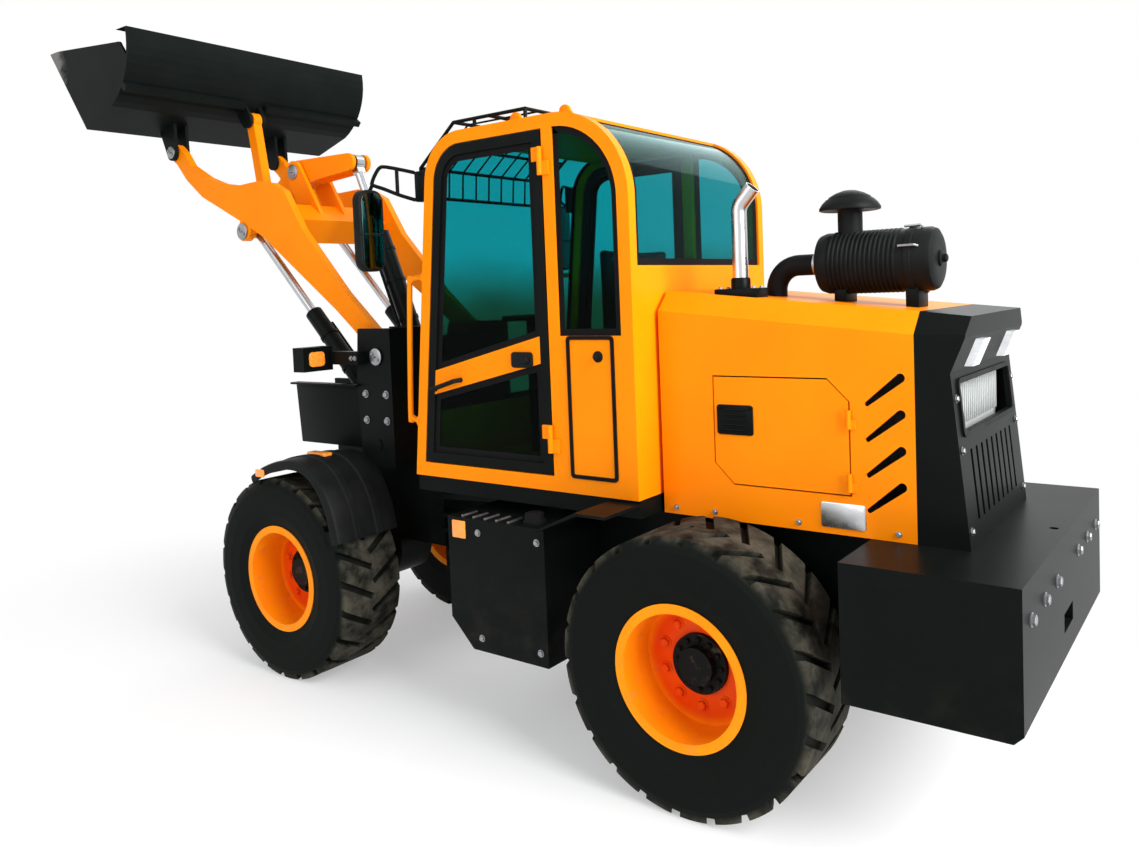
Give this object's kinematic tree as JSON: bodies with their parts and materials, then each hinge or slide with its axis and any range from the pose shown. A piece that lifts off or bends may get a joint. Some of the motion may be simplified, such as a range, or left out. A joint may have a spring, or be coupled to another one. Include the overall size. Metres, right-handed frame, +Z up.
{
  "type": "compact wheel loader",
  "caption": "Compact articulated wheel loader with raised arms, rolled-back bucket, glazed cab and rear engine hood; steers, lifts, tilts, rolls and opens its doors.",
  "frame": {"origin": "on the ground, at the middle of the parked machine's length and width", "axes": "+X forward towards the bucket, +Y to the machine's left, +Z up"},
  "size_m": [5.7198, 1.76, 3.6656],
  "materials": {
    "yellow_paint": "gloss",
    "black_paint": "gloss",
    "cast_black": "satin",
    "rubber": "matte",
    "glass": "clear",
    "black_plastic": "matte",
    "chrome": "polished",
    "grey_metal": "satin",
    "lamp": "gloss",
    "engine": "satin"
  },
  "bodies": {
    "rear": {"rear_frame": "black_paint", "rear_axle": "black_paint", "counterweight": "cast_black", "fuel_tank": "black_paint", "hydraulic_tank": "black_paint", "rear_fenders": "black_paint", "cab_frame": "yellow_paint", "cab_shell": "yellow_paint", "cab_glass": "glass", "roof_guard": "black_plastic", "seat": "black_plastic", "steering_column": "black_plastic", "console": "black_plastic", "mirrors": "black_plastic", "grab_rails": "yellow_paint", "hood": "yellow_paint", "grille_housing": "black_paint", "radiator": "grey_metal", "rear_lamps": "lamp", "engine": "engine", "exhaust": "grey_metal", "air_cleaner": "black_plastic"},
    "front": {"front_frame": "black_paint", "front_hitch": "black_paint", "tower_cheeks": "black_paint", "front_axle": "black_paint", "front_fenders": "black_paint", "headlamps": "black_paint"},
    "wheel_front_left": {"tyre_front_left": "rubber", "rim_front_left": "yellow_paint"},
    "wheel_front_right": {"tyre_front_right": "rubber", "rim_front_right": "yellow_paint"},
    "wheel_rear_left": {"tyre_rear_left": "rubber", "rim_rear_left": "yellow_paint"},
    "wheel_rear_right": {"tyre_rear_right": "rubber", "rim_rear_right": "yellow_paint"},
    "boom": {"boom": "yellow_paint"},
    "bucket": {"bucket": "black_paint"},
    "rocker": {"rocker": "yellow_paint"},
    "link": {"link": "yellow_paint"},
    "tilt_barrel": {"tilt_barrel": "black_paint"},
    "tilt_rod": {"tilt_rod": "chrome"},
    "lift_barrel_left": {"lift_barrel_left": "black_paint"},
    "lift_rod_left": {"lift_rod_left": "chrome"},
    "steer_barrel_left": {"steer_barrel_left": "black_paint"},
    "steer_rod_left": {"steer_rod_left": "chrome"},
    "hood_door_left": {"hood_door_left": "yellow_paint"},
    "door_left": {"door_left": "black_paint", "door_bar_left": "yellow_paint", "door_glass_left": "glass"},
    "lift_barrel_right": {"lift_barrel_right": "black_paint"},
    "lift_rod_right": {"lift_rod_right": "chrome"},
    "steer_barrel_right": {"steer_barrel_right": "black_paint"},
    "steer_rod_right": {"steer_rod_right": "chrome"},
    "hood_door_right": {"hood_door_right": "yellow_paint"},
    "door_right": {"door_right": "black_paint", "door_bar_right": "yellow_paint", "door_glass_right": "glass"}
  },
  "joints": [
    {"name": "articulation", "type": "hinge", "parent": "rear", "child": "front", "pos_m": [-0.44992, 0, 0.78], "axis": [0, 0, 1], "range_deg": [-30, 30]},
    {"name": "wheel_front_left_spin", "type": "hinge", "parent": "front", "child": "wheel_front_left", "pos_m": [0.77508, 0.645, 0.5375], "axis": [0, 1, 0], "continuous": true},
    {"name": "wheel_front_right_spin", "type": "hinge", "parent": "front", "child": "wheel_front_right", "pos_m": [0.77508, -0.645, 0.5375], "axis": [0, 1, 0], "continuous": true},
    {"name": "wheel_rear_left_spin", "type": "hinge", "parent": "rear", "child": "wheel_rear_left", "pos_m": [-1.67492, 0.645, 0.5375], "axis": [0, 1, 0], "continuous": true},
    {"name": "wheel_rear_right_spin", "type": "hinge", "parent": "rear", "child": "wheel_rear_right", "pos_m": [-1.67492, -0.645, 0.5375], "axis": [0, 1, 0], "continuous": true},
    {"name": "boom_lift", "type": "hinge", "parent": "front", "child": "boom", "pos_m": [0.33008, 0, 1.7], "axis": [0, -1, 0], "range_deg": [-77, 18.5]},
    {"name": "bucket_tilt", "type": "hinge", "parent": "boom", "child": "bucket", "pos_m": [2.27086, 0, 3.00907], "axis": [0, 1, 0], "range_deg": [-25, 100]},
    {"name": "rocker_swing", "type": "hinge", "parent": "boom", "child": "rocker", "pos_m": [1.45124, 0, 2.8205], "axis": [0, -1, 0], "range_deg": [-9.25, 34]},
    {"name": "link_swing", "type": "hinge", "parent": "bucket", "child": "link", "pos_m": [1.98365, 0, 3.22458], "axis": [0, -1, 0], "range_deg": [-16.5, 63]},
    {"name": "tilt_barrel_swing", "type": "hinge", "parent": "front", "child": "tilt_barrel", "pos_m": [0.50008, 0, 1.69], "axis": [0, -1, 0], "range_deg": [-88.78, 22.09]},
    {"name": "tilt_rod_slide", "type": "slide", "parent": "tilt_barrel", "child": "tilt_rod", "axis": [0.3814, 0, 0.9244], "range_m": [-0.173, 0.0455]},
    {"name": "lift_barrel_left_swing", "type": "hinge", "parent": "front", "child": "lift_barrel_left", "pos_m": [0.35008, 0.3015, 1.23], "axis": [0, -1, 0], "range_deg": [-71.84, 18.02]},
    {"name": "lift_rod_left_slide", "type": "slide", "parent": "lift_barrel_left", "child": "lift_rod_left", "axis": [0.7063, 0, 0.7079], "range_m": [-0.5728, 0.1399]},
    {"name": "lift_barrel_right_swing", "type": "hinge", "parent": "front", "child": "lift_barrel_right", "pos_m": [0.35008, -0.3015, 1.23], "axis": [0, -1, 0], "range_deg": [-71.84, 18.02]},
    {"name": "lift_rod_right_slide", "type": "slide", "parent": "lift_barrel_right", "child": "lift_rod_right", "axis": [0.7063, 0, 0.7079], "range_m": [-0.5728, 0.1399]},
    {"name": "steer_barrel_left_swing", "type": "hinge", "parent": "rear", "child": "steer_barrel_left", "pos_m": [-0.67992, 0.23, 0.8], "axis": [0, 0, 1], "range_deg": [-19, 19]},
    {"name": "steer_rod_left_slide", "type": "slide", "parent": "steer_barrel_left", "child": "steer_rod_left", "axis": [1, 0.0089, 0], "range_m": [-0.123, 0.123]},
    {"name": "steer_barrel_right_swing", "type": "hinge", "parent": "rear", "child": "steer_barrel_right", "pos_m": [-0.67992, -0.23, 0.8], "axis": [0, 0, 1], "range_deg": [-19, 19]},
    {"name": "steer_rod_right_slide", "type": "slide", "parent": "steer_barrel_right", "child": "steer_rod_right", "axis": [1, -0.0089, 0], "range_m": [-0.123, 0.123]},
    {"name": "door_left_swing", "type": "hinge", "parent": "rear", "child": "door_left", "pos_m": [-0.95192, 0.629, 1.9], "axis": [0, 0, 1], "range_deg": [0, 95]},
    {"name": "hood_door_left_swing", "type": "hinge", "parent": "rear", "child": "hood_door_left", "pos_m": [-2.2169, 0.459, 1.4], "axis": [0, 0, 1], "range_deg": [0, 100]},
    {"name": "door_right_swing", "type": "hinge", "parent": "rear", "child": "door_right", "pos_m": [-0.95192, -0.629, 1.9], "axis": [0, 0, -1], "range_deg": [0, 95]},
    {"name": "hood_door_right_swing", "type": "hinge", "parent": "rear", "child": "hood_door_right", "pos_m": [-2.2169, -0.459, 1.4], "axis": [0, 0, -1], "range_deg": [0, 100]}
  ],
  "couplings": [
    {"joint": "rocker_swing", "follows": "bucket_tilt", "ratio": 0.33},
    {"joint": "link_swing", "follows": "bucket_tilt", "ratio": 0.62},
    {"joint": "tilt_barrel_swing", "follows": "boom_lift", "ratio": 1.14},
    {"joint": "tilt_rod_slide", "follows": "bucket_tilt", "m_per_rad": -0.097403},
    {"joint": "lift_barrel_left_swing", "follows": "boom_lift", "ratio": 0.92},
    {"joint": "lift_rod_left_slide", "follows": "boom_lift", "m_per_rad": 0.42399},
    {"joint": "lift_barrel_right_swing", "follows": "boom_lift", "ratio": 0.92},
    {"joint": "lift_rod_right_slide", "follows": "boom_lift", "m_per_rad": 0.42399},
    {"joint": "steer_barrel_left_swing", "follows": "articulation", "ratio": 0.6},
    {"joint": "steer_rod_left_slide", "follows": "articulation", "m_per_rad": -0.22913},
    {"joint": "steer_barrel_right_swing", "follows": "articulation", "ratio": 0.6},
    {"joint": "steer_rod_right_slide", "follows": "articulation", "m_per_rad": 0.22913}
  ]
}
